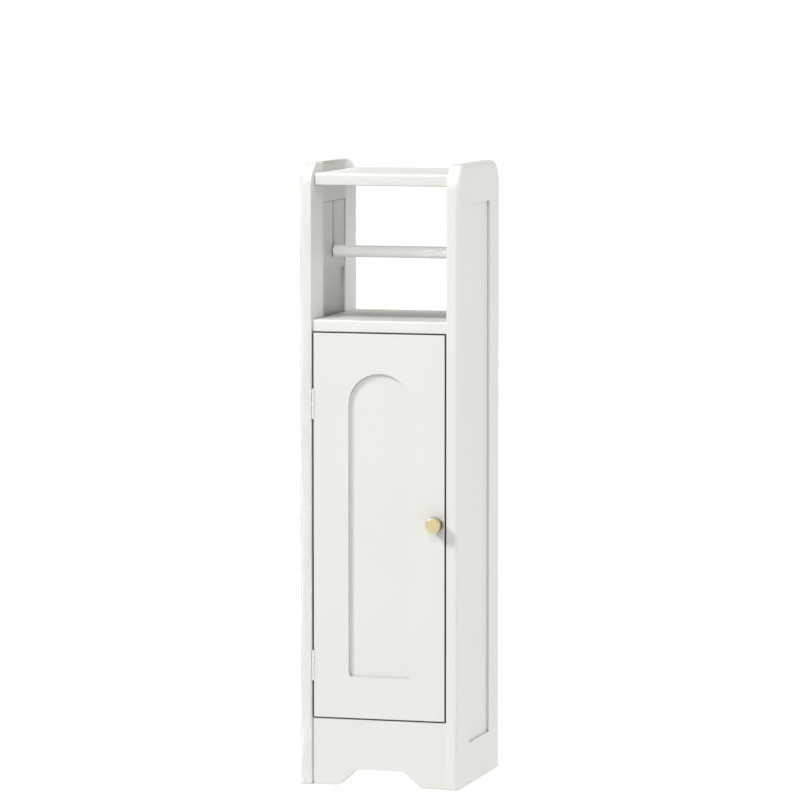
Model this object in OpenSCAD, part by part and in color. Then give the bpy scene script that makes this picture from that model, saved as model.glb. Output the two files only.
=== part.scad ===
// Tall narrow toilet roll cabinet of white painted board.
// Millimetres. X runs to the right as seen from the front, Y to the back,
// Z up. The origin is on the floor, in the middle of the whole outline with
// the knob included. The front of the cabinet faces -Y.

/* [Body] */
// Height from the floor to the top of the side frames
body_h = 780; // [700:5:900]
// Width over the two side frames
body_w = 206; // [196:1:260]
// Depth of the side frames, front to back
body_d = 202; // [190:1:260]
// Thickness of the shelves, the apron and the door
board_t = 15; // [14:0.5:16]
// Thickness of the side frames
side_t = 15.7; // [15:0.1:16]
// Radius of the two top corners of each side frame, seen from the side
corner_r = 30; // [10:1:40]
// Radius along the outer edge of each side frame
edge_r = 5; // [2:0.5:6]
// Radius that eases every other outer edge of the boards
ease_r = 1; // [0.5:0.1:1.5]

/* [Side frames] */
// Width of the front upright of a side frame
front_stile_w = 53; // [46:1:60]
// Width of the rear upright of a side frame
rear_stile_w = 50; // [46:1:60]
// Height of the top rail of a side frame
top_rail_w = 50; // [40:1:60]
// Height of the bottom rail of a side frame
bottom_rail_w = 52; // [40:1:60]
// How far the field lies below the outer face of the frame
recess_out = 3.3; // [2:0.1:3.5]
// How far the field lies below the inner face of the frame
recess_in = 3.7; // [3.5:0.1:4]
// How far the field runs into the grooves of its frame
tongue = 6; // [4:0.5:6]

/* [Boards] */
// Height of the upper face of the top shelf, below the top of the frames
top_shelf_drop = 12; // [8:1:16]
// How far the front of the top shelf lies behind the front of the frames
top_shelf_set = 16; // [12:1:18]
// Upper face of the middle shelf, above the floor
mid_shelf_z = 585.5; // [560:0.5:600]
// How far the front of the middle shelf lies behind the frames
mid_shelf_set = 6; // [4:0.5:7]
// Height of the front apron
apron_h = 84; // [78:0.1:90]
// How far the front of the apron lies behind the frames
apron_set = 5; // [5:0.5:8]
// Height of the cut-out under the apron
apron_cut_h = 20.5; // [15:0.5:24]
// Width of each foot that the cut-out leaves
apron_foot_w = 33.5; // [28:0.5:38]
// Run of the slanting edge of the cut-out
apron_slope_w = 23.5; // [18:0.5:28]
// Underside of the loose shelf in the cupboard
inner_shelf_z = 322; // [250:1:400]
// Thickness of the back sheet
back_t = 3; // [2.5:0.5:3]

/* [Door] */
// How far the door face lies behind the front of the frames
door_set = 3; // [2:0.5:4]
// Gap on the hinge side of the door
door_gap_l = 1.8; // [1.6:0.1:2]
// Gap on the knob side of the door
door_gap_r = 2.7; // [1.8:0.1:3]
// Gap above and below the door
door_gap_v = 1.3; // [1:0.1:2.5]
// Width of the arched field cut into the door
arch_w = 81; // [70:1:90]
// Top of the arched field, above the floor
arch_top = 519.5; // [500:0.5:525]
// Bottom of the arched field, above the floor
arch_bottom = 138; // [130:1:150]
// Depth of the arched field
arch_depth = 3.8; // [3:0.2:6]

/* [Knob and hinges] */
// Diameter of the knob
knob_d = 18.5; // [16:0.5:22]
// Height of the knob above the floor
knob_z = 333; // [300:0.5:360]
// How far the knob stands off the door face
knob_out = 18; // [16:1:22]
// Distance of the knob axis from the door's free edge
knob_edge = 11.2; // [11:0.1:16]
// Length of a hinge
hinge_len = 38; // [35:1:40]
// Middle of the upper hinge, above the floor
hinge_up_z = 480.5; // [460:0.5:490]
// Middle of the lower hinge, above the floor
hinge_low_z = 151; // [140:0.5:170]

/* [Roll bar] */
// Diameter of the bar that carries the roll
bar_d = 15; // [13:0.5:16]
// Height of the bar's axis above the floor
bar_z = 666; // [655:1:675]
// Diameter of the pins in the ends of the bar
pin_d = 8; // [7:0.5:8]
// Height of the slotted boards that carry the bar
slot_board_h = 86; // [80:1:90]

/* [Hidden] */

$fn = 96;

white = [0.94, 0.94, 0.93];
hinge_white = [0.95, 0.95, 0.94];
brass = [0.83, 0.72, 0.45];
steel = [0.72, 0.73, 0.74];
zinc = [0.62, 0.63, 0.64];
beech = [0.82, 0.68, 0.48];
grey = [0.30, 0.31, 0.32];

eps = 0.01;

// The knob is the foremost point, so the frames are moved back by half of it
front_over = knob_out - door_set;
y_move = front_over / 2;

// Positions before that move, with the frames centred in depth
yf = -body_d / 2;
yr = body_d / 2;
xo = body_w / 2;
xi = xo - side_t;
field_t = side_t - recess_in - recess_out;
gy0 = yf + front_stile_w;
gy1 = yr - rear_stile_w;

top_z1 = body_h - top_shelf_drop;
top_z0 = top_z1 - board_t;
mid_z1 = mid_shelf_z;
mid_z0 = mid_z1 - board_t;
low_z1 = apron_h;
low_z0 = low_z1 - board_t;

door_z0 = apron_h + door_gap_v;
door_z1 = mid_z0 - door_gap_v;
door_x0 = -xi + door_gap_l;
door_x1 = xi - door_gap_r;
door_y0 = yf + door_set;
door_y1 = door_y0 + board_t;

apron_y0 = yf + apron_set;
apron_y1 = apron_y0 + board_t;
shelf_y1 = yr - 1 - back_t;
// How far the fronts of the two upper shelves lean back at the top
front_lean = 1;

// Hinge axis, just proud of the door face, in the gap
hx = -xi + 1.9;
hy = yf + 1.1;
knuckle_r = 1.6;
leaf_t = 0.65;
leaf_y1 = hy + 14.4;
hinge_pin_r = 0.8;

knob_x = door_x1 - knob_edge;

bar_r = bar_d / 2;
pin_r = pin_d / 2;
slot_r = pin_r + 0.3;
slot_gap = 0.6;
slot_board_z1 = body_h - top_rail_w - slot_gap;
slot_board_z0 = slot_board_z1 - slot_board_h;
slot_face = xi + 0.8;
slot_floor = xi + recess_in;
bar_y = 0;

// Joints between the boards and the side frames
cam_r = 7.4;
cam_in = 34;
bolt_in = 10.5;

// Each end of a board gets a bolt with its cam disc and a dowel at the
// front, and the same at the back: [height, bolt y, dowel y]
board_joints = [
  [top_z0 + board_t / 2, yf + 40, yf + 26],
  [top_z0 + board_t / 2, yr - 32, yr - 14],
  [mid_z0 + board_t / 2, yf + 38, yf + 18],
  [mid_z0 + board_t / 2, yr - 32, yr - 14],
  [low_z0 + board_t / 2, yf + 40, yf + 27.5],
  [low_z0 + board_t / 2, yr - 32, yr - 14]
];
apron_bolt_z = 54;
apron_dowel_z = 34;
apron_y = apron_y0 + board_t / 2;

// ---- helpers ----------------------------------------------------------

module placed() { translate([0, y_move, 0]) children(); }

module box(x0, x1, y0, y1, z0, z1) {
  translate([x0, y0, z0]) cube([x1 - x0, y1 - y0, z1 - z0]);
}

module both_sides() { children(); mirror([1, 0, 0]) children(); }

// A plain rod along +X from x0 to x1
module rod_x(x0, x1, y, z, r) {
  translate([x0, y, z]) rotate([0, 90, 0]) cylinder(r = r, h = x1 - x0);
}

// A plain rod along +Y from y0 to y1
module rod_y(x, y0, y1, z, r) {
  translate([x, y0, z]) rotate([-90, 0, 0]) cylinder(r = r, h = y1 - y0);
}

// Outline of a side frame, seen from the side, top corners rounded
module side_outline() {
  translate([yf, 0]) square([body_d, body_h - corner_r]);
  translate([yf + corner_r, 0]) square([body_d - 2 * corner_r, body_h]);
  translate([yf + corner_r, body_h - corner_r]) circle(r = corner_r);
  translate([yr - corner_r, body_h - corner_r]) circle(r = corner_r);
}

// What a rounded edge takes off: an edge along +Z at the origin, with the
// wood on the side of +X and +Y
module edge_strip(len, r) {
  difference() {
    translate([-1, -1, 0]) cube([r + 1, r + 1, len]);
    translate([r, r, -1]) cylinder(r = r, h = len + 2);
  }
}

// The same round a top corner of a side frame, on the face at x = 0, about
// the corner's axis
module edge_bend(r) {
  rotate([90, 0, 90])
    rotate_extrude(angle = 90)
      difference() {
        translate([corner_r - r, -1]) square([r + 1, r + 1]);
        translate([corner_r - r, r]) circle(r = r);
      }
}

// All the way round one face of a side frame, on the face at x = 0
module frame_edge_cut(r) {
  translate([0, yf, -1]) edge_strip(body_h - corner_r + 1, r);
  translate([0, yr, -1]) mirror([0, 1, 0])
    edge_strip(body_h - corner_r + 1, r);
  translate([0, yf + corner_r, body_h - corner_r])
    mirror([0, 1, 0]) edge_bend(r);
  translate([0, yr - corner_r, body_h - corner_r]) edge_bend(r);
  translate([0, yr - corner_r, body_h]) rotate([90, 0, 0])
    mirror([0, 1, 0]) edge_strip(body_d - 2 * corner_r, r);
}

// The four front edges of a board, eased
module front_ease(x0, x1, y0, z0, z1, r) {
  end_ease(x0, x1, y0, z0, z1, r);
  long_ease(x0, x1, y0, z0, r);
  translate([0, 0, z1]) mirror([0, 0, 1]) long_ease(x0, x1, y0, 0, r);
}

// The two upright edges at the ends of a board's front
module end_ease(x0, x1, y0, z0, z1, r) {
  translate([x0, y0, z0 - 1]) edge_strip(z1 - z0 + 2, r);
  translate([x1, y0, z0 - 1]) mirror([1, 0, 0])
    edge_strip(z1 - z0 + 2, r);
}

// What comes off a board's front so that it leans back, more and more,
// towards its upper edge, where a rounding of radius r ends it
module lean_cut(x0, x1, y0, z0, z1, lean, r) {
  h = z1 - z0;
  big_r = (h * h + lean * lean) / (2 * lean);
  difference() {
    box(x0 - 1, x1 + 1, y0 - 1, y0 + lean + 2, z0, z1 + 1);
    rod_x(x0 - 2, x1 + 2, y0 + big_r, z0, big_r);
  }
  back = big_r - r - sqrt(pow(big_r - r, 2) - pow(h - r, 2));
  translate([0, 0, z1]) mirror([0, 0, 1]) long_ease(x0, x1, y0 + back, 0, r);
}

// The lower front edge of a board
module long_ease(x0, x1, y0, z0, r) {
  translate([x0 - 1, y0, z0]) rotate([90, 0, 90])
    edge_strip(x1 - x0 + 2, r);
}

// The solid board that the uprights and rails of the right side come from
module side_blank() {
  difference() {
    translate([xi, 0, 0]) rotate([90, 0, 90])
      linear_extrude(height = side_t) side_outline();
    translate([xo, 0, 0]) mirror([1, 0, 0]) frame_edge_cut(edge_r);
    translate([xi, 0, 0]) frame_edge_cut(ease_r);
  }
}

// Blind holes that the fasteners need in the inner face of a side frame
module side_holes() {
  for (j = board_joints) {
    rod_x(xi - 1, xi + bolt_in + 0.5, j[1], j[0], 2.6);
    rod_x(xi - 1, xi + bolt_in + 0.5, j[2], j[0], 4.05);
  }
  rod_x(xi - 1, xi + bolt_in + 0.5, apron_y, apron_bolt_z, 2.6);
  rod_x(xi - 1, xi + bolt_in + 0.5, apron_y, apron_dowel_z, 4.05);
  for (y = [yf + 38, yr - 28])
    rod_x(xi - 1, xi + 8.5, y, inner_shelf_z - 2.5, 2.55);
}

module front_stile() {
  difference() {
    intersection() {
      side_blank();
      box(xi - 1, xo + 1, yf - 1, gy0, -1, body_h + 1);
    }
    box(xi + recess_in, xi + recess_in + field_t, gy0 - tongue, gy0 + 1,
        -1, body_h + 1);
    side_holes();
  }
}

module rear_stile() {
  difference() {
    intersection() {
      side_blank();
      box(xi - 1, xo + 1, gy1, yr + 1, -1, body_h + 1);
    }
    box(xi + recess_in, xi + recess_in + field_t, gy1 - 1, gy1 + tongue,
        -1, body_h + 1);
    side_holes();
  }
}

module top_rail() {
  difference() {
    intersection() {
      side_blank();
      union() {
        box(xi - 1, xo + 1, gy0, gy1, body_h - top_rail_w, body_h + 1);
        box(xi + recess_in, xi + recess_in + field_t, gy0 - tongue,
            gy1 + tongue, body_h - top_rail_w + tongue, body_h + 1);
      }
    }
    box(xi + recess_in, xi + recess_in + field_t, gy0 - tongue - 1,
        gy1 + tongue + 1, body_h - top_rail_w - 1,
        body_h - top_rail_w + tongue);
  }
}

module bottom_rail() {
  difference() {
    union() {
      box(xi, xo, gy0, gy1, 0, bottom_rail_w);
      box(xi + recess_in, xi + recess_in + field_t, gy0 - tongue,
          gy1 + tongue, 0, bottom_rail_w - tongue);
    }
    box(xi + recess_in, xi + recess_in + field_t, gy0 - tongue - 1,
        gy1 + tongue + 1, bottom_rail_w - tongue, bottom_rail_w + 1);
  }
}

module side_field() {
  box(xi + recess_in, xi + recess_in + field_t, gy0 - tongue, gy1 + tongue,
      bottom_rail_w - tongue, body_h - top_rail_w + tongue);
}

// Board let into the recess, with an upright slot for a pin of the bar
module slot_board() {
  difference() {
    box(slot_face, slot_floor, gy0 + 0.3, gy1 - slot_gap - 0.3,
        slot_board_z0, slot_board_z1);
    rod_x(slot_face - 1, slot_floor + 1, bar_y, bar_z, slot_r);
    box(slot_face - 1, slot_floor + 1, bar_y - slot_r, bar_y + slot_r,
        bar_z, slot_board_z1 + 1);
  }
}

// One joint in a board end: bolt bore, cam pocket from below, dowel bore
module end_bores(z, by, dy) {
  rod_x(xi - cam_in - 0.5, xi + 1, by, z, 3.55);
  translate([xi - cam_in, by, z - board_t / 2 - 1])
    cylinder(r = cam_r + 0.1, h = 13.5);
  rod_x(xi - 20, xi + 1, dy, z, 4.05);
}

module shelf_bores(first) {
  both_sides()
    for (k = [first, first + 1])
      end_bores(board_joints[k][0], board_joints[k][1], board_joints[k][2]);
}

module top_shelf_body() {
  y0 = yf + top_shelf_set;
  difference() {
    box(-xi, xi, y0, yr, top_z0, top_z1);
    long_ease(-xi, xi, y0, top_z0, ease_r);
    lean_cut(-xi, xi, y0, top_z0, top_z1, front_lean, 3.5);
    end_ease(-xi, xi, y0, top_z0, top_z1, 1.5);
    shelf_bores(0);
  }
}

module middle_shelf_body() {
  y0 = yf + mid_shelf_set;
  difference() {
    box(-xi, xi, y0, yr, mid_z0, mid_z1);
    long_ease(-xi, xi, y0, mid_z0, ease_r);
    lean_cut(-xi, xi, y0, mid_z0, mid_z1, front_lean, 3.2);
    end_ease(-xi, xi, y0, mid_z0, mid_z1, ease_r);
    // rebate for the back sheet
    box(-xi - 1, xi + 1, shelf_y1, yr + 1, mid_z0 - 1, mid_z0 + 8);
    shelf_bores(2);
    // pilot holes for the catch
    for (x = [catch_x - 17, catch_x + 17])
      translate([x, catch_y, mid_z0 - 1]) cylinder(r = 1.3, h = 10);
    for (x = [-60, 0, 60])
      rod_y(x, shelf_y1 - 12, shelf_y1 + 1, mid_z0 + 4, 1.3);
  }
}

module bottom_shelf_body() {
  difference() {
    box(-xi, xi, apron_y1, shelf_y1, low_z0, low_z1);
    shelf_bores(4);
    for (x = [-60, 0, 60])
      rod_y(x, shelf_y1 - 12, shelf_y1 + 1, low_z1 - 7.5, 1.3);
  }
}

module inner_shelf_body() {
  box(-xi + 0.6, xi - 0.6, door_y1 + 8, shelf_y1 - 0.5,
      inner_shelf_z, inner_shelf_z + 12);
}

module back_sheet_body() {
  difference() {
    box(-xi + 0.3, xi - 0.3, shelf_y1, shelf_y1 + back_t,
        low_z0 + 1, mid_z0 + 7.5);
    for (x = [-60, 0, 60])
      rod_y(x, shelf_y1 - 1, shelf_y1 + back_t + 1, low_z1 - 7.5, 1.6);
    for (x = [-60, 0, 60])
      rod_y(x, shelf_y1 - 1, shelf_y1 + back_t + 1, mid_z0 + 4, 1.6);
  }
}

// The tip of a corner p-q-s that a radius r takes off
function unit(v) = v / norm(v);
module corner_tip(p, q, s, r) {
  u = unit(p - q);
  v = unit(s - q);
  half = acos(u * v) / 2;
  c = q + unit(u + v) * (r / sin(half));
  difference() {
    polygon([q, q + u * (r / tan(half)), c, q + v * (r / tan(half))]);
    translate(c) circle(r = r);
  }
}

// Half of the cut-out under the apron: a flat top and a slanting side
cut_x1 = xi - apron_foot_w;
cut_x0 = cut_x1 - apron_slope_w;
module cut_half() {
  top = [cut_x0, apron_cut_h];
  low = [cut_x1, 0];
  difference() {
    polygon([[-1, -2], [-1, apron_cut_h], top, low, [cut_x1, -2]]);
    corner_tip([0, apron_cut_h], top, low, 12);
  }
  // rounded inner corner of the foot
  corner_tip(top, low, [xi, 0], 5);
}

module front_apron_body() {
  difference() {
    box(-xi, xi, apron_y0, apron_y1, 0, apron_h);
    translate([0, 0, apron_h]) mirror([0, 0, 1])
      long_ease(-xi, xi, apron_y0, 0, ease_r);
    end_ease(-xi, xi, apron_y0, 0, apron_h, ease_r);
    both_sides()
      translate([0, apron_y1 + 1, 0]) rotate([90, 0, 0])
        linear_extrude(height = board_t + 2) cut_half();
    both_sides() {
      rod_x(xi - cam_in - 0.5, xi + 1, apron_y, apron_bolt_z, 3.55);
      rod_y(xi - cam_in, apron_y1 - 12.5, apron_y1 + 1, apron_bolt_z,
            cam_r + 0.1);
      rod_x(xi - 20, xi + 1, apron_y, apron_dowel_z, 4.05);
    }
  }
}

// ---- door -------------------------------------------------------------

arch_r = arch_w / 2;
arch_x = (door_x0 + door_x1) / 2 + 0.9;
arch_foot_r = 5;

module arch_outline() {
  translate([arch_x, arch_top - arch_r]) circle(r = arch_r);
  translate([arch_x - arch_r, arch_bottom + arch_foot_r])
    square([arch_w, arch_top - arch_r - arch_bottom - arch_foot_r]);
  translate([arch_x - arch_r + arch_foot_r, arch_bottom])
    square([arch_w - 2 * arch_foot_r, arch_foot_r + 1]);
  for (s = [-1, 1])
    translate([arch_x + s * (arch_r - arch_foot_r),
               arch_bottom + arch_foot_r]) circle(r = arch_foot_r);
}

screw_dz = [-12.5, 12.5];

module door_panel_body() {
  difference() {
    box(door_x0, door_x1, door_y0, door_y1, door_z0, door_z1);
    front_ease(door_x0, door_x1, door_y0, door_z0, door_z1, ease_r);
    translate([0, door_y0 + arch_depth, 0]) rotate([90, 0, 0])
      linear_extrude(height = arch_depth + 1) arch_outline();
    // hole for the knob's screw, with a sunk seat at the back
    rod_y(knob_x, door_y0 - 1, door_y1 + 1, knob_z, 2.2);
    // pilots for the hinge screws and the strike plate
    for (z = [hinge_up_z, hinge_low_z], d = screw_dz)
      rod_x(door_x0 - 1, door_x0 + 10.5, hy + 8.2, z + d, 1.15);
    rod_y(catch_x, door_y1 - 9, door_y1 + 1, strike_z, 1.25);
  }
}

// A turned knob: a full round head, its rims rounded, on a short neck
module knob_profile() {
  r = knob_d / 2;
  rim = 0.9;
  base = 0.5;
  square([6.2, 3]);
  translate([0, 2.4]) square([r - base, knob_out - 3]);
  translate([0, 2.4 + base]) square([r, knob_out - 2.4 - base - rim]);
  translate([0, knob_out - 1.5]) square([r - rim, 1.5]);
  translate([r - base, 2.4 + base]) circle(r = base);
  translate([r - rim, knob_out - rim]) circle(r = rim);
}

module door_knob_body() {
  translate([knob_x, door_y0, knob_z]) rotate([90, 0, 0])
    difference() {
      rotate_extrude() knob_profile();
      translate([0, 0, -1]) cylinder(r = 1.95, h = 11);
    }
}

module knob_screw_body() {
  // pan head on the back of the door, shank up into the knob
  rod_y(knob_x, door_y0 - 9, door_y1 + 0.05, knob_z, 1.9);
  difference() {
    translate([knob_x, door_y1, knob_z]) rotate([-90, 0, 0])
      cylinder(r1 = 4, r2 = 3.2, h = 2.4);
    translate([knob_x, door_y1 + 2.4, knob_z]) {
      cube([4, 1.6, 0.9], center = true);
      cube([0.9, 1.6, 4], center = true);
    }
  }
}

// ---- hinges -----------------------------------------------------------

// Five knuckles: the frame leaf has the 1st, 3rd and 5th, the door leaf
// the 2nd and 4th
knuckle_h = hinge_len / 5;
knuckle_gap = 0.3;
frame_knuckles = [0, 2, 4];
door_knuckles = [1, 3];

module knuckle(z0, z1) {
  translate([hx, hy, z0]) cylinder(r = knuckle_r, h = z1 - z0);
}

module frame_leaf(zc) {
  z0 = zc - hinge_len / 2;
  difference() {
    union() {
      box(-xi, -xi + leaf_t, hy + 1.9, leaf_y1, z0, z0 + hinge_len);
      for (k = frame_knuckles) {
        za = z0 + k * knuckle_h + (k > 0 ? knuckle_gap / 2 : 0);
        zb = z0 + (k + 1) * knuckle_h - (k < 4 ? knuckle_gap / 2 : 0);
        knuckle(za, zb);
        box(-xi, -xi + leaf_t, hy, hy + 2, za, zb);
      }
    }
    translate([hx, hy, z0 - 1]) cylinder(r = hinge_pin_r, h = hinge_len + 2);
    for (d = screw_dz)
      rod_x(-xi - 1, -xi + 1, hy + 8.2, zc + d, 1.6);
  }
}

module door_leaf(zc) {
  z0 = zc - hinge_len / 2;
  difference() {
    union() {
      box(door_x0 - leaf_t, door_x0, hy + 1.95, leaf_y1,
          z0, z0 + hinge_len);
      for (k = door_knuckles) {
        za = z0 + k * knuckle_h + knuckle_gap / 2;
        zb = z0 + (k + 1) * knuckle_h - knuckle_gap / 2;
        knuckle(za, zb);
        box(door_x0 - leaf_t, door_x0, hy, hy + 2, za, zb);
      }
    }
    translate([hx, hy, z0 - 1])
      cylinder(r = hinge_pin_r + 0.05, h = hinge_len + 2);
    for (d = screw_dz)
      rod_x(door_x0 - 1, door_x0 + 1, hy + 8.2, zc + d, 1.6);
  }
}

module hinge_pin(zc) {
  translate([hx, hy, zc - hinge_len / 2])
    cylinder(r = hinge_pin_r, h = hinge_len);
}

// Flat-headed screw along +X, its head let into a thin leaf
module leaf_screw(len) {
  rotate([0, 90, 0]) {
    cylinder(r = 1.5, h = leaf_t);
    translate([0, 0, leaf_t - eps]) cylinder(r = 1.1, h = len - 1.5);
    translate([0, 0, leaf_t + len - 1.5 - 2 * eps])
      cylinder(r1 = 1.1, r2 = 0.2, h = 1.5);
  }
}

// ---- catch ------------------------------------------------------------

catch_x = 22;
catch_w = 44;
catch_y0 = door_y1 + 1.5;
catch_y = catch_y0 + 8;
catch_h = 12;
strike_z = door_z1 - 6.3;

module catch_case_body() {
  difference() {
    box(catch_x - catch_w / 2, catch_x + catch_w / 2,
        catch_y0 + 0.8, catch_y0 + 16, mid_z0 - catch_h, mid_z0);
    // room for the magnet
    box(catch_x - 11, catch_x + 11, catch_y0 - 1, catch_y0 + 12.2,
        mid_z0 - 10, mid_z0 - 3);
    for (x = [catch_x - 17, catch_x + 17])
      translate([x, catch_y, mid_z0 - catch_h - 1])
        cylinder(r = 1.7, h = catch_h + 2);
  }
}

module catch_magnet_body() {
  box(catch_x - 10.9, catch_x + 10.9, catch_y0, catch_y0 + 12.1,
      mid_z0 - 9.9, mid_z0 - 3.1);
}

module catch_screws_body() {
  for (x = [catch_x - 17, catch_x + 17])
    translate([x, catch_y, mid_z0 - catch_h - 1.8]) {
      cylinder(r1 = 2.4, r2 = 3, h = 1.8);
      translate([0, 0, 1.7]) cylinder(r = 1.25, h = 19);
    }
}

module strike_plate_body() {
  difference() {
    box(catch_x - 10, catch_x + 10, door_y1, door_y1 + 1,
        strike_z - 5.5, strike_z + 5.5);
    rod_y(catch_x, door_y1 - 1, door_y1 + 2, strike_z, 1.25);
  }
}

module strike_screw_body() {
  rod_y(catch_x, door_y1 - 8.5, door_y1 + 1.2, strike_z, 1.2);
  // very flat head, so that the magnet can come close
  translate([catch_x, door_y1 + 1, strike_z]) rotate([-90, 0, 0])
    cylinder(r1 = 2.4, r2 = 2.2, h = 0.05 + 0.1);
}

// ---- roll bar ---------------------------------------------------------

bar_end = xi - 0.5;
pin_out = slot_floor - 0.5;

module roll_bar_body() {
  difference() {
    rod_x(-bar_end, bar_end, bar_y, bar_z, bar_r);
    both_sides()
      rod_x(bar_end - 14.3, bar_end + 1, bar_y, bar_z, pin_r + 0.05);
  }
}

module bar_end_pins_body() {
  both_sides() rod_x(bar_end - 14, pin_out, bar_y, bar_z, pin_r);
}

// ---- small parts ------------------------------------------------------

module shelf_pegs_body() {
  both_sides()
    for (y = [yf + 38, yr - 28])
      rod_x(xi - 8, xi + 8, y, inner_shelf_z - 2.5, 2.5);
}

// Bolt that screws into the side and is gripped by its cam disc
module cam_bolt(y, z) {
  rod_x(xi - 1, xi + bolt_in, y, z, 2.5);
  rod_x(xi - 26.5, xi, y, z, 3.4);
  rod_x(xi - 32, xi - 26, y, z, 1.75);
  rod_x(xi - 33.5, xi - 31, y, z, 3.1);
}

module cam_bolts_body() {
  both_sides() {
    for (j = board_joints) cam_bolt(j[1], j[0]);
    cam_bolt(apron_y, apron_bolt_z);
  }
}

// Disc with its mouth on +X, turned side on -Z, top at z = 0
module cam_disc() {
  difference() {
    translate([0, 0, -12]) cylinder(r = cam_r, h = 12);
    // room for the bolt's head and neck
    translate([-3.4, -3.5, -8]) cube([7.2, 7, 7]);
    translate([3, -2.2, -7]) cube([6, 4.4, 5]);
    // cross for the driver
    translate([0, 0, -12]) {
      cube([9, 1.6, 4], center = true);
      cube([1.6, 9, 4], center = true);
    }
  }
}

module cam_discs_body() {
  both_sides() {
    for (j = board_joints)
      translate([xi - cam_in, j[1], j[0] + board_t / 2 - 3]) cam_disc();
    translate([xi - cam_in, apron_y1 - 12.3, apron_bolt_z])
      rotate([90, 0, 0]) cam_disc();
  }
}

module wood_dowels_body() {
  both_sides() {
    for (j = board_joints)
      rod_x(xi - 19.5, xi + bolt_in, j[2], j[0], 4);
    rod_x(xi - 19.5, xi + bolt_in, apron_y, apron_dowel_z, 4);
  }
}

// Small pan-headed screws that hold the back sheet
module back_screws_body() {
  for (x = [-60, 0, 60], z = [low_z1 - 7.5, mid_z0 + 4]) {
    rod_y(x, shelf_y1 - 11, shelf_y1 + back_t + 0.1, z, 1.2);
    translate([x, shelf_y1 + back_t, z]) rotate([-90, 0, 0])
      cylinder(r1 = 2.9, r2 = 2.3, h = 0.9);
  }
}

// ---- nodes ------------------------------------------------------------

module left_front_stile() {
  color(white) placed()
    difference() {
      mirror([1, 0, 0]) front_stile();
      // pilots for the hinge screws
      for (z = [hinge_up_z, hinge_low_z], d = screw_dz)
        rod_x(-xi - 10.5, -xi + 1, hy + 8.2, z + d, 1.15);
    }
}
module left_rear_stile() { color(white) placed() mirror([1, 0, 0]) rear_stile(); }
module left_top_rail() { color(white) placed() mirror([1, 0, 0]) top_rail(); }
module left_bottom_rail() { color(white) placed() mirror([1, 0, 0]) bottom_rail(); }
module left_side_field() { color(white) placed() mirror([1, 0, 0]) side_field(); }
module left_slot_board() { color(white) placed() mirror([1, 0, 0]) slot_board(); }
module right_front_stile() { color(white) placed() front_stile(); }
module right_rear_stile() { color(white) placed() rear_stile(); }
module right_top_rail() { color(white) placed() top_rail(); }
module right_bottom_rail() { color(white) placed() bottom_rail(); }
module right_side_field() { color(white) placed() side_field(); }
module right_slot_board() { color(white) placed() slot_board(); }
module top_shelf() { color(white) placed() top_shelf_body(); }
module middle_shelf() { color(white) placed() middle_shelf_body(); }
module bottom_shelf() { color(white) placed() bottom_shelf_body(); }
module inner_shelf() { color(white) placed() inner_shelf_body(); }
module back_sheet() { color(white) placed() back_sheet_body(); }
module front_apron() { color(white) placed() front_apron_body(); }
module door_panel() { color(white) placed() door_panel_body(); }
module door_knob() { color(brass) placed() door_knob_body(); }
module knob_screw() { color(steel) placed() knob_screw_body(); }
module upper_hinge_frame_leaf() { color(hinge_white) placed() frame_leaf(hinge_up_z); }
module upper_hinge_door_leaf() { color(hinge_white) placed() door_leaf(hinge_up_z); }
module upper_hinge_pin() { color(steel) placed() hinge_pin(hinge_up_z); }
module lower_hinge_frame_leaf() { color(hinge_white) placed() frame_leaf(hinge_low_z); }
module lower_hinge_door_leaf() { color(hinge_white) placed() door_leaf(hinge_low_z); }
module lower_hinge_pin() { color(steel) placed() hinge_pin(hinge_low_z); }
module hinge_frame_screws() {
  color(steel) placed()
    for (z = [hinge_up_z, hinge_low_z], d = screw_dz)
      translate([-xi + leaf_t, hy + 8.2, z + d]) mirror([1, 0, 0])
        leaf_screw(9);
}
module hinge_door_screws() {
  color(steel) placed()
    for (z = [hinge_up_z, hinge_low_z], d = screw_dz)
      translate([door_x0 - leaf_t, hy + 8.2, z + d]) leaf_screw(9);
}
module catch_case() { color(white) placed() catch_case_body(); }
module catch_magnet() { color(grey) placed() catch_magnet_body(); }
module catch_screws() { color(steel) placed() catch_screws_body(); }
module strike_plate() { color(steel) placed() strike_plate_body(); }
module strike_screw() { color(steel) placed() strike_screw_body(); }
module roll_bar() { color(white) placed() roll_bar_body(); }
module bar_end_pins() { color(white) placed() bar_end_pins_body(); }
module shelf_pegs() { color(steel) placed() shelf_pegs_body(); }
module cam_bolts() { color(steel) placed() cam_bolts_body(); }
module cam_discs() { color(zinc) placed() cam_discs_body(); }
module wood_dowels() { color(beech) placed() wood_dowels_body(); }
module back_screws() { color(steel) placed() back_screws_body(); }

left_front_stile();
left_rear_stile();
left_top_rail();
left_bottom_rail();
left_side_field();
left_slot_board();
right_front_stile();
right_rear_stile();
right_top_rail();
right_bottom_rail();
right_side_field();
right_slot_board();
top_shelf();
middle_shelf();
bottom_shelf();
inner_shelf();
back_sheet();
front_apron();
door_panel();
door_knob();
knob_screw();
upper_hinge_frame_leaf();
upper_hinge_door_leaf();
upper_hinge_pin();
lower_hinge_frame_leaf();
lower_hinge_door_leaf();
lower_hinge_pin();
hinge_frame_screws();
hinge_door_screws();
catch_case();
catch_magnet();
catch_screws();
strike_plate();
strike_screw();
roll_bar();
bar_end_pins();
shelf_pegs();
cam_bolts();
cam_discs();
wood_dowels();
back_screws();
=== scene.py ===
import math

import bmesh
import bpy
from mathutils import Matrix, Vector


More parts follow.
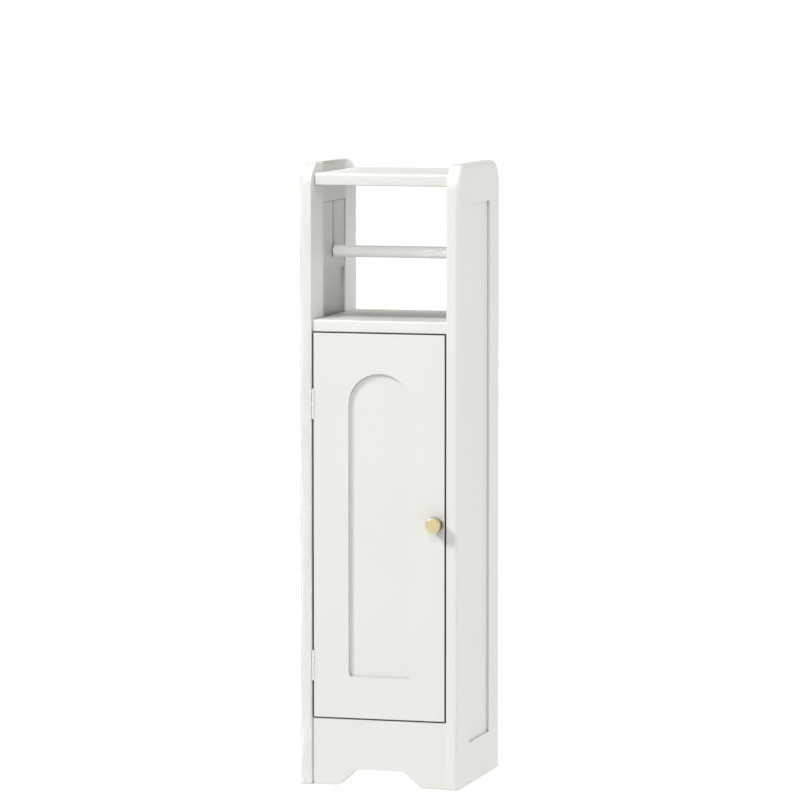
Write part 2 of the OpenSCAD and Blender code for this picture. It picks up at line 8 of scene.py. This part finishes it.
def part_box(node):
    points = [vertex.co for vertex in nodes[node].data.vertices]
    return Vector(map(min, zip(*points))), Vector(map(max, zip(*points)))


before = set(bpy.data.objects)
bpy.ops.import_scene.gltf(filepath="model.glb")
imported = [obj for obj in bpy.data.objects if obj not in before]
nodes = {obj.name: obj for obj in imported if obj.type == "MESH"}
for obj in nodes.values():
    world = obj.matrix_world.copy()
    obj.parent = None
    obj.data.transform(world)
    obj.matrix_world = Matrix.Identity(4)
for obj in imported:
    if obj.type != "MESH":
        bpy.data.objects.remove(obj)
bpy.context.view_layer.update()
scene = bpy.context.scene


# ---------------------------------------------------------------- materials
def new_material(name):
    mat = bpy.data.materials.new(name)
    mat.use_nodes = True
    tree = mat.node_tree
    tree.nodes.clear()
    out = tree.nodes.new("ShaderNodeOutputMaterial")
    shader = tree.nodes.new("ShaderNodeBsdfPrincipled")
    tree.links.new(shader.outputs["BSDF"], out.inputs["Surface"])
    return mat, tree, shader


def coords(tree, scale=(1, 1, 1), rotation=(0, 0, 0)):
    tc = tree.nodes.new("ShaderNodeTexCoord")
    mp = tree.nodes.new("ShaderNodeMapping")
    mp.inputs["Scale"].default_value = scale
    mp.inputs["Rotation"].default_value = rotation
    tree.links.new(tc.outputs["Object"], mp.inputs["Vector"])
    return mp.outputs["Vector"]


def noise(tree, vector, scale, detail=3.0, rough=0.5):
    n = tree.nodes.new("ShaderNodeTexNoise")
    n.inputs["Scale"].default_value = scale
    n.inputs["Detail"].default_value = detail
    n.inputs["Roughness"].default_value = rough
    tree.links.new(vector, n.inputs["Vector"])
    return n.outputs["Fac"]


def ramp(tree, fac, stops):
    r = tree.nodes.new("ShaderNodeValToRGB")
    els = r.color_ramp.elements
    while len(els) < len(stops):
        els.new(0.5)
    for e, (pos, col) in zip(els, stops):
        e.position = pos
        e.color = (*col, 1.0) if len(col) == 3 else col
    tree.links.new(fac, r.inputs["Fac"])
    return r.outputs["Color"]


def span(tree, fac, lo, hi, from_lo=0.25, from_hi=0.75):
    m = tree.nodes.new("ShaderNodeMapRange")
    m.inputs["From Min"].default_value = from_lo
    m.inputs["From Max"].default_value = from_hi
    m.inputs["To Min"].default_value = lo
    m.inputs["To Max"].default_value = hi
    tree.links.new(fac, m.inputs["Value"])
    return m.outputs["Result"]


def bump(tree, shader, layers):
    """layers: (height socket, strength, distance in metres), laid over each other."""
    normal = None
    for height, strength, distance in layers:
        b = tree.nodes.new("ShaderNodeBump")
        b.inputs["Strength"].default_value = strength
        b.inputs["Distance"].default_value = distance
        tree.links.new(height, b.inputs["Height"])
        if normal is not None:
            tree.links.new(normal, b.inputs["Normal"])
        normal = b.outputs["Normal"]
    tree.links.new(normal, shader.inputs["Normal"])


def times(tree, colour, shade, share=None):
    mix = tree.nodes.new("ShaderNodeMix")
    mix.data_type = "RGBA"
    mix.blend_type = "MULTIPLY"
    mix.inputs[0].default_value = 1.0
    if share is not None:
        tree.links.new(share, mix.inputs[0])
    tree.links.new(colour, mix.inputs[6])
    tree.links.new(shade, mix.inputs[7])
    return mix.outputs[2]


def painted_gap_shade(tree, colour, reach=0.007, floor=0.15, lo=0.12, hi=0.46,
            share=None):
    """Painted shade where two boards nearly meet: joints and gaps are painted darker,
    as shade falls there.
    """
    ao = tree.nodes.new("ShaderNodeAmbientOcclusion")
    ao.samples = 12
    ao.inputs["Distance"].default_value = reach
    shade = ramp(tree, ao.outputs["AO"], [(lo, (floor, floor, floor)),
                                          (hi, (1.0, 1.0, 1.0))])
    return times(tree, colour, shade, share)


def facing(tree):
    geo = tree.nodes.new("ShaderNodeNewGeometry")
    sep = tree.nodes.new("ShaderNodeSeparateXYZ")
    tree.links.new(geo.outputs["Normal"], sep.inputs["Vector"])
    return sep


def walls(tree):
    """1 on the faces that stand square to the front, 0 on those that face it."""
    size = tree.nodes.new("ShaderNodeMath")
    size.operation = "ABSOLUTE"
    tree.links.new(facing(tree).outputs["Y"], size.inputs[0])
    return span(tree, size.outputs["Value"], 1.0, 0.0, 0.3, 0.8)


def painted_underside_shade(tree, colour, left):
    """Faces that point down are painted darker, as painted shade: left is what they
    keep.
    """
    down = span(tree, facing(tree).outputs["Z"], 1.0, 0.0, -0.65, -0.15)
    return times(tree, colour, ramp(tree, down, [(0.0, (1.0, 1.0, 1.0)),
                                                 (1.0, (left,) * 3)]))


def painted(name, light, dark, rough=(0.39, 0.44), peel=0.10, coat=0.0,
            seed=0.0, under=0.5, flat=False):
    """Sprayed satin paint on fibre board: faint mottle, orange peel, and painted
    shade in gaps, inner corners and on faces that point down.
    """
    mat, tree, sh = new_material(name)
    vec = coords(tree)
    shift = tree.nodes.new("ShaderNodeMapping")
    shift.inputs["Location"].default_value = (seed, seed * 0.7, -seed * 0.4)
    tree.links.new(vec, shift.inputs["Vector"])
    v = shift.outputs["Vector"]
    cloud = noise(tree, v, 9.0, 3.0, 0.55)
    col = ramp(tree, cloud, [(0.30, dark), (0.72, light)])
    # painted shade: gaps between boards are painted darker
    col = painted_gap_shade(tree, col)
    if under < 1.0:
        # board parts: painted shade in their square inner corners as well
        col = painted_gap_shade(tree, col, reach=0.0035, floor=0.60 if flat else 0.80,
                      lo=0.50, hi=0.82, share=walls(tree) if flat else None)
        # painted shade on faces that point down
        col = painted_underside_shade(tree, col, under)
    tree.links.new(col, sh.inputs["Base Color"])
    soft = noise(tree, v, 60.0, 4.0, 0.6)
    tree.links.new(span(tree, soft, rough[0], rough[1]), sh.inputs["Roughness"])
    fine = noise(tree, v, 620.0, 2.0, 0.45)
    wide = noise(tree, v, 70.0, 2.0, 0.5)
    bump(tree, sh, [(fine, peel, 0.00008), (wide, peel * 0.2, 0.0003)])
    sh.inputs["IOR"].default_value = 1.47
    sh.inputs["Specular IOR Level"].default_value = 0.42
    if coat:
        sh.inputs["Coat Weight"].default_value = coat
        sh.inputs["Coat Roughness"].default_value = 0.25
    return mat


WHITE = (0.715, 0.716, 0.684)
WHITE_D = (0.700, 0.702, 0.669)
paint = painted("paint_white", WHITE, WHITE_D)
paint_door = painted("paint_white_door", WHITE, WHITE_D, seed=3.1, flat=True)
paint_inner = painted("paint_white_inner", (0.700, 0.700, 0.674),
                      (0.682, 0.684, 0.656), rough=(0.42, 0.54), seed=6.4)
# the bar gets a lighter copy of the white paint: painted light, standing in for more
# light on the bar
paint_bar_painted_light = painted("paint_white_bar_painted_light", (0.885, 0.885, 0.870),
                    (0.865, 0.866, 0.850), rough=(0.30, 0.38), peel=0.16,
                    seed=9.2, under=1.0)
paint_hinge = painted("paint_white_hinge", (0.80, 0.80, 0.79),
                      (0.77, 0.77, 0.76), rough=(0.26, 0.34), peel=0.05,
                      seed=1.7, under=1.0)


def foil(name):
    """Thin pressed board faced with white foil: a faint fleck."""
    mat, tree, sh = new_material(name)
    v = coords(tree)
    fleck = noise(tree, v, 1300.0, 2.0, 0.7)
    cloud = noise(tree, v, 14.0, 2.0, 0.5)
    base = ramp(tree, cloud, [(0.3, (0.665, 0.665, 0.645)),
                              (0.7, (0.700, 0.698, 0.676))])
    mix = tree.nodes.new("ShaderNodeMix")
    mix.data_type = "RGBA"
    mix.blend_type = "MULTIPLY"
    mix.inputs[0].default_value = 1.0
    tree.links.new(base, mix.inputs[6])
    tree.links.new(ramp(tree, fleck, [(0.30, (0.93, 0.93, 0.92)),
                                      (0.60, (1, 1, 1))]), mix.inputs[7])
    tree.links.new(mix.outputs[2], sh.inputs["Base Color"])
    tree.links.new(span(tree, fleck, 0.46, 0.60), sh.inputs["Roughness"])
    bump(tree, sh, [(fleck, 0.18, 0.00006)])
    return mat


def wood(name, along, light, mid, dark, rough=(0.45, 0.6)):
    """Bare straight-grained wood; along is the grain's axis, 0, 1 or 2."""
    mat, tree, sh = new_material(name)
    squeeze = [1.0, 1.0, 1.0]
    squeeze[along] = 0.06
    v = coords(tree, tuple(squeeze))
    grain = noise(tree, v, 520.0, 5.0, 0.65)
    bands = noise(tree, v, 110.0, 3.0, 0.5)
    base = ramp(tree, bands, [(0.25, mid), (0.55, light), (0.80, mid)])
    mix = tree.nodes.new("ShaderNodeMix")
    mix.data_type = "RGBA"
    mix.blend_type = "MULTIPLY"
    mix.inputs[0].default_value = 0.8
    tree.links.new(base, mix.inputs[6])
    tree.links.new(ramp(tree, grain, [(0.35, dark), (0.55, (1, 1, 1))]),
                   mix.inputs[7])
    tree.links.new(mix.outputs[2], sh.inputs["Base Color"])
    tree.links.new(span(tree, grain, rough[1], rough[0]),
                   sh.inputs["Roughness"])
    bump(tree, sh, [(grain, 0.35, 0.0001)])
    return mat


def metal(name, light, dark, rough, scale=(1, 1, 1), fine=900.0,
          strength=0.15, spots=None):
    """Plated or cast metal: stretched noise for its brushing or skin."""
    mat, tree, sh = new_material(name)
    v = coords(tree, scale)
    grain = noise(tree, v, fine, 4.0, 0.6)
    cloud = noise(tree, v, fine * 0.06, 2.0, 0.5)
    col = ramp(tree, cloud, [(0.3, dark), (0.7, light)])
    if spots is not None:
        mix = tree.nodes.new("ShaderNodeMix")
        mix.data_type = "RGBA"
        mix.blend_type = "MULTIPLY"
        mix.inputs[0].default_value = 1.0
        tree.links.new(col, mix.inputs[6])
        tree.links.new(ramp(tree, grain, [(0.32, spots), (0.55, (1, 1, 1))]),
                       mix.inputs[7])
        col = mix.outputs[2]
    tree.links.new(col, sh.inputs["Base Color"])
    sh.inputs["Metallic"].default_value = 1.0
    tree.links.new(span(tree, grain, rough[0], rough[1]),
                   sh.inputs["Roughness"])
    bump(tree, sh, [(grain, strength, 0.00005)])
    return mat


steel = metal("steel_plated", (0.74, 0.75, 0.77), (0.66, 0.67, 0.69),
              (0.24, 0.36))
pin_steel = metal("steel_pin", (0.72, 0.73, 0.75), (0.64, 0.65, 0.67),
                  (0.22, 0.34), scale=(1, 1, 0.08))
zinc = metal("zinc_cast", (0.60, 0.61, 0.63), (0.50, 0.51, 0.53),
             (0.42, 0.60), fine=500.0, strength=0.4,
             spots=(0.80, 0.80, 0.82))
magnet = metal("magnet_dark", (0.12, 0.12, 0.13), (0.07, 0.07, 0.08),
               (0.45, 0.62), fine=700.0, strength=0.3)
beech = wood("beech_bare", 0, (0.70, 0.50, 0.30), (0.62, 0.42, 0.24),
             (0.66, 0.56, 0.46))


def plastic(name, light, dark):
    mat, tree, sh = new_material(name)
    v = coords(tree)
    tex = noise(tree, v, 1500.0, 3.0, 0.6)
    cloud = noise(tree, v, 40.0, 2.0, 0.5)
    tree.links.new(ramp(tree, cloud, [(0.3, dark), (0.7, light)]),
                   sh.inputs["Base Color"])
    tree.links.new(span(tree, tex, 0.38, 0.52), sh.inputs["Roughness"])
    bump(tree, sh, [(tex, 0.20, 0.00005)])
    return mat


white_plastic = plastic("plastic_white", (0.82, 0.82, 0.80),
                        (0.79, 0.79, 0.77))


def brass_material():
    """Pale polished brass, faint turning marks round the knob's own axis."""
    mat, tree, sh = new_material("brass_polished")
    v = coords(tree)
    cloud = noise(tree, v, 160.0, 3.0, 0.5)
    col = ramp(tree, cloud, [(0.3, (0.81, 0.70, 0.385)),
                             (0.7, (0.86, 0.75, 0.43))])
    # painted shade and reflection: the turned side is painted darker towards the
    # door, where the gap between knob and door lies in shade
    tree.links.new(painted_gap_shade(tree, col, reach=0.018, floor=0.15, lo=0.55,
                           hi=0.92), sh.inputs["Base Color"])
    sh.inputs["Metallic"].default_value = 1.0
    rub = noise(tree, v, 1200.0, 3.0, 0.6)
    tree.links.new(span(tree, rub, 0.30, 0.38), sh.inputs["Roughness"])
    # turning marks: the knob's radius from its axis, as a fine wave
    lo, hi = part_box("door_knob")
    cx, cz = (lo.x + hi.x) / 2, (lo.z + hi.z) / 2
    mp = tree.nodes.new("ShaderNodeMapping")
    mp.inputs["Location"].default_value = (-cx, 0, -cz)
    tree.links.new(v, mp.inputs["Vector"])
    rings = tree.nodes.new("ShaderNodeTexWave")
    rings.wave_type = "RINGS"
    rings.rings_direction = "Y"
    rings.inputs["Scale"].default_value = 700.0
    rings.inputs["Distortion"].default_value = 0.6
    tree.links.new(mp.outputs["Vector"], rings.inputs["Vector"])
    bump(tree, sh, [(rings.outputs["Fac"], 0.06, 0.00003),
                    (rub, 0.05, 0.00003)])
    return mat


brass = brass_material()

OUTSIDE = ["left_front_stile", "left_rear_stile", "left_top_rail",
           "left_bottom_rail", "left_side_field", "left_slot_board",
           "right_front_stile", "right_rear_stile", "right_top_rail",
           "right_bottom_rail", "right_side_field", "right_slot_board",
           "top_shelf", "middle_shelf", "front_apron"]
looks = {n: paint for n in OUTSIDE}
looks.update({
    "bottom_shelf": paint_inner, "inner_shelf": paint_inner,
    "back_sheet": foil("foil_white"), "door_panel": paint_door,
    "door_knob": brass, "knob_screw": steel,
    "upper_hinge_frame_leaf": paint_hinge,
    "upper_hinge_door_leaf": paint_hinge,
    "lower_hinge_frame_leaf": paint_hinge,
    "lower_hinge_door_leaf": paint_hinge,
    "upper_hinge_pin": pin_steel, "lower_hinge_pin": pin_steel,
    "hinge_frame_screws": steel, "hinge_door_screws": steel,
    "catch_case": white_plastic, "catch_magnet": magnet,
    "catch_screws": steel, "strike_plate": steel, "strike_screw": steel,
    "roll_bar": paint_bar_painted_light, "bar_end_pins": white_plastic, "shelf_pegs": steel,
    "cam_bolts": steel, "cam_discs": zinc, "wood_dowels": beech,
    "back_screws": steel,
})
for name, obj in nodes.items():
    obj.data.materials.clear()
    obj.data.materials.append(looks[name])

# ------------------------------------------------------------------ camera
YAW, PITCH = math.radians(15.689), math.radians(5.132)
FOCAL_PX = 4967.255
cam_data = bpy.data.cameras.new("camera")
cam_data.sensor_fit = "HORIZONTAL"
cam_data.sensor_width = 36.0
cam_data.lens = FOCAL_PX * 36.0 / 800.0
cam_data.clip_start, cam_data.clip_end = 0.1, 1000.0
cam = bpy.data.objects.new("camera", cam_data)
cam.location = (1.690689, -6.021199 + 0.0075, 1.040247)
forward = Vector((-math.sin(YAW) * math.cos(PITCH),
                  math.cos(YAW) * math.cos(PITCH), -math.sin(PITCH)))
cam.rotation_mode = "QUATERNION"
cam.rotation_quaternion = forward.to_track_quat("-Z", "Y")
scene.collection.objects.link(cam)
scene.camera = cam

# ------------------------------------------------------------------- floor
def floor_piece():
    mat, tree, sh = new_material("studio_floor")
    v = coords(tree)
    cloud = noise(tree, v, 1.5, 2.0, 0.5)
    tree.links.new(ramp(tree, cloud, [(0.3, (0.118, 0.118, 0.118)),
                                      (0.7, (0.122, 0.122, 0.122))]),
                   sh.inputs["Base Color"])
    sh.inputs["Roughness"].default_value = 0.9
    sh.inputs["Specular IOR Level"].default_value = 0.0
    # lit from below, as a light table: white right up to the cabinet
    sh.inputs["Emission Color"].default_value = (1.0, 1.0, 0.998, 1.0)
    sh.inputs["Emission Strength"].default_value = 0.965
    mesh = bpy.data.meshes.new("studio_floor")
    bm = bmesh.new()
    s = 400.0
    vs = [bm.verts.new((x, y, 0.0)) for x, y in
          ((-s, -s), (s, -s), (s, s), (-s, s))]
    bm.faces.new(vs)
    bm.to_mesh(mesh)
    bm.free()
    mesh.materials.append(mat)
    o = bpy.data.objects.new("studio_floor", mesh)
    scene.collection.objects.link(o)


floor_piece()

# ------------------------------------------------------------------ lights
world = bpy.data.worlds.new("studio")
scene.world = world
world.use_nodes = True
wt = world.node_tree
wt.nodes.clear()
wo = wt.nodes.new("ShaderNodeOutputWorld")


def far_walls(strength):
    bg = wt.nodes.new("ShaderNodeBackground")
    bg.inputs["Color"].default_value = (1.0, 1.0, 1.0, 1.0)
    bg.inputs["Strength"].default_value = strength
    return bg.outputs["Background"]


# The far walls give little light, but look as white as the floor where a low
# view sees past its edge.
wm = wt.nodes.new("ShaderNodeMixShader")
wt.links.new(wt.nodes.new("ShaderNodeLightPath").outputs["Is Camera Ray"],
             wm.inputs[0])
wt.links.new(far_walls(0.04), wm.inputs[1])
wt.links.new(far_walls(1.0), wm.inputs[2])
wt.links.new(wm.outputs[0], wo.inputs["Surface"])


def linked(name, pieces, state):
    """A collection that only says which objects a light includes or leaves out."""
    coll = bpy.data.collections.new(name)
    for piece in pieces:
        coll.objects.link(nodes[piece])
    for entry in coll.collection_objects:
        entry.light_linking.link_state = state
    return coll


def sun(name, direction, energy, angle=16.0):
    data = bpy.data.lights.new(name, "SUN")
    data.energy = energy
    data.angle = math.radians(angle)
    data.color = (1.0, 0.995, 0.985)
    obj = bpy.data.objects.new(name, data)
    obj.rotation_mode = "QUATERNION"
    obj.rotation_quaternion = Vector(direction).to_track_quat("-Z", "Y")
    scene.collection.objects.link(obj)
    return obj


def only(light, pieces):
    """The light falls on these pieces and nothing else."""
    light.light_linking.receiver_collection = linked(
        light.name + "_lights", pieces, "INCLUDE")
    return light


# The key light comes from the upper left. On the boards between the side
# frames it is flagged off the left front upright, which throws no shadow.
KEY, KEY_DIR = 2.58, (1.40, 1.0, -1.32)
BETWEEN = ["top_shelf", "middle_shelf", "front_apron", "door_panel"]
HINGES = [n for n in nodes if "_hinge_" in n]
sun("key", KEY_DIR, KEY).light_linking.receiver_collection = linked(
    "key_leaves_out", BETWEEN, "EXCLUDE")
key_door = only(sun("key_door", KEY_DIR, KEY), ["door_panel"])
key_door.light_linking.blocker_collection = linked(
    "key_door_passes", ["left_front_stile"] + HINGES, "EXCLUDE")
only(sun("key_apron", (0.0, 1.0, -1.32), KEY * 0.7635), ["front_apron"])

# The top shelf is lit more from above. The middle one is lit from straight in
# front on its edge, and from above only along its front and its rear, where
# light comes in past the top shelf.
only(sun("key_top", (0.0, 1.0, -4.0), 3.7), ["top_shelf"])
only(sun("front_top", (0.0, 1.0, 0.0), 0.14), ["top_shelf"])
only(sun("front_middle", (0.0, 1.0, 0.0), 0.85), ["middle_shelf"])
only(sun("key_middle", (0.35, 1.0, -3.0), 2.4, 16.0), ["middle_shelf"])
only(sun("back_middle", (0.0, -1.0, -2.8), 2.0, 44.0), ["middle_shelf"])

# From straight above: the tops and top corners of the two side frames, the
# ledges under their sunk fields, and a little on the bar under the top shelf
TOPS = [side + part for side in ("left", "right")
        for part in ("_front_stile", "_rear_stile", "_top_rail")]
only(sun("tops", (0.0, 0.0, -1.0), 1.5, 6.0), TOPS)
for name, energy, pieces in (
        ("tops_left", 1.0, TOPS[:3]),
        ("ledges", 1.6, ["left_bottom_rail", "right_bottom_rail"]),
        ("bar_top", 0.38, ["roll_bar"])):
    light = only(sun(name, (0.0, 0.0, -1.0), energy, 6.0), pieces)
    light.light_linking.blocker_collection = linked(
        name + "_passes", ["top_shelf", "left_top_rail", "right_top_rail"],
        "EXCLUDE")

# A wide soft light from the right for the right-hand side, and a weaker one
# for the inner face of the left side frame, past the right side frame.
LEFT = [n for n in nodes if n.startswith("left_")]
RIGHT = [n for n in nodes if n.startswith("right_")]
SUNK = ["left_side_field", "left_slot_board"]
sun("side", (-1.0, 0.0, -0.45), 1.62, 45.0).light_linking \
    .receiver_collection = linked("side_leaves_out", LEFT, "EXCLUDE")
for name, energy, pieces in (
        ("side_left", 1.40, ["left_front_stile", "left_rear_stile",
                             "left_bottom_rail"]),
        ("side_rail", 0.28, ["left_top_rail"])):
    light = only(sun(name, (-1.0, 0.0, -0.1), energy, 60.0), pieces)
    light.light_linking.blocker_collection = linked(
        name + "_passes", RIGHT, "EXCLUDE")

# A small soft light at the front of the bay: it fades along the sunk field
# of the left side frame towards the rear.
near_data = bpy.data.lights.new("bay_near", "AREA")
near_data.shape = "DISK"
near_data.size = 0.10
near_data.energy = 0.06
near = bpy.data.objects.new("bay_near", near_data)
near.location = (0.0, -0.27, 0.73)
near.rotation_mode = "QUATERNION"
near.rotation_quaternion = (Vector((-0.09, -0.02, 0.68)) - near.location) \
    .to_track_quat("-Z", "Y")
near.visible_camera = False
scene.collection.objects.link(near)
only(near, SUNK)

# For the back of the cabinet. The rear edges of the shelves are lit a little
# from below, so that nothing glances off their tops.
only(sun("back", (0.7, -1.0, -0.05), 1.9, 10.0),
     ["back_sheet", "right_rear_stile"])
only(sun("back_left", (0.0, -1.0, -0.05), 1.5, 10.0), ["left_rear_stile"])
only(sun("back_edges", (0.2, -1.0, 0.25), 1.0, 10.0),
     ["top_shelf", "middle_shelf"]).light_linking.blocker_collection = linked(
    "back_edges_stops", ["back_sheet"], "INCLUDE")

# The white wall behind, as it glances off the flat top of the left side frame
only(sun("glance", (0.27, -0.96, -0.12), 0.09, 10.0),
     ["left_front_stile", "left_top_rail"])

front_data = bpy.data.lights.new("front_disc", "AREA")
front_data.shape = "DISK"
front_data.size = 1.6
front_data.energy = 41.5
front = bpy.data.objects.new("front_disc", front_data)
front.location = (0.2, -3.2, 2.6)
front.rotation_mode = "QUATERNION"
front.rotation_quaternion = (Vector((0.0, 0.0, 0.7)) - front.location) \
    .to_track_quat("-Z", "Y")
scene.collection.objects.link(front)
front.light_linking.receiver_collection = linked(
    "front_leaves_out", SUNK, "EXCLUDE")

scene.view_settings.view_transform = "Standard"
scene.view_settings.look = "None"
scene.view_settings.exposure = 0.0
scene.view_settings.gamma = 1.0

bpy.context.view_layer.update()
